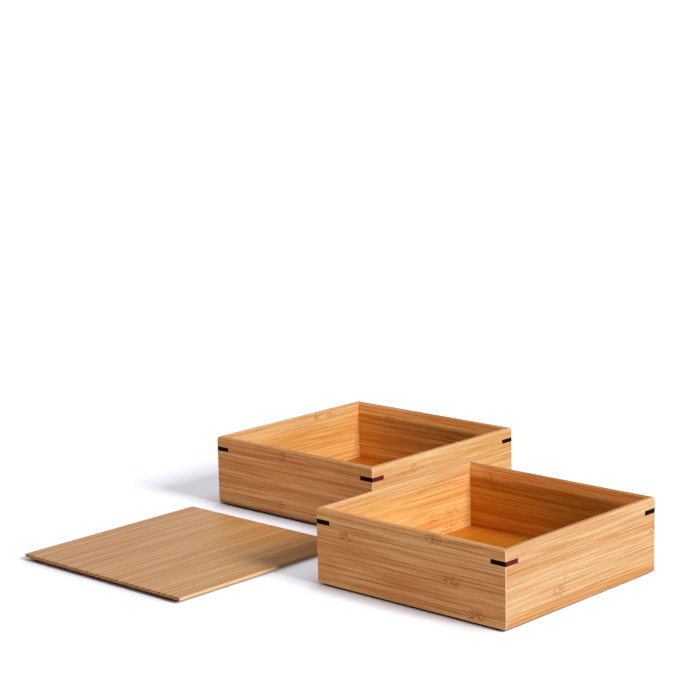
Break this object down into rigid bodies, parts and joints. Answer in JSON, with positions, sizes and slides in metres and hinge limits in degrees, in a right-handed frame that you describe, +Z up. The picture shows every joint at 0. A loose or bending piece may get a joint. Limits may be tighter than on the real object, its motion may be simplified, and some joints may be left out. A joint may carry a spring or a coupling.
{
  "type": "two-tier lunch box",
  "caption": "Square tiered lunch box of laminated bamboo, laid out open: trays with mitred, keyed corners that nest by a plinth, and a flat lid that drops into the rim.",
  "frame": {"origin": "middle of the footprint of the whole layout, at table height", "axes": "+Z up; +Y from the lower tray towards the upper tray and the lid; +X from the lid towards the upper tray"},
  "size_m": [0.328, 0.3384, 0.0495],
  "materials": {
    "bamboo_wall": "clear satin oil on laminated bamboo, grain along each wall",
    "bamboo_board": "clear satin oil on laminated bamboo board",
    "bamboo_lid": "clear satin oil on laminated bamboo board, end grain on two edges",
    "dark_key": "dark red-brown hardwood, satin"
  },
  "bodies": {
    "lower_tray": {"lower_wall_front": "bamboo_wall", "lower_wall_right": "bamboo_wall", "lower_wall_back": "bamboo_wall", "lower_wall_left": "bamboo_wall", "lower_key_front_left": "dark_key", "lower_key_front_right": "dark_key", "lower_key_back_right": "dark_key", "lower_key_back_left": "dark_key", "lower_bottom_board": "bamboo_board"},
    "upper_tray": {"upper_wall_front": "bamboo_wall", "upper_wall_right": "bamboo_wall", "upper_wall_back": "bamboo_wall", "upper_wall_left": "bamboo_wall", "upper_key_front_left": "dark_key", "upper_key_front_right": "dark_key", "upper_key_back_right": "dark_key", "upper_key_back_left": "dark_key", "upper_bottom_board": "bamboo_board"},
    "lid": {"lid_top_board": "bamboo_lid", "lid_locating_board": "bamboo_lid"}
  },
  "joints": [
    {"name": "upper_tray_lift", "type": "slide", "parent": "lower_tray", "child": "upper_tray", "axis": [0, 0, 1], "range_m": [0, 0.12]},
    {"name": "lid_lift", "type": "slide", "parent": "lower_tray", "child": "lid", "axis": [0, 0, 1], "range_m": [0, 0.12]}
  ]
}
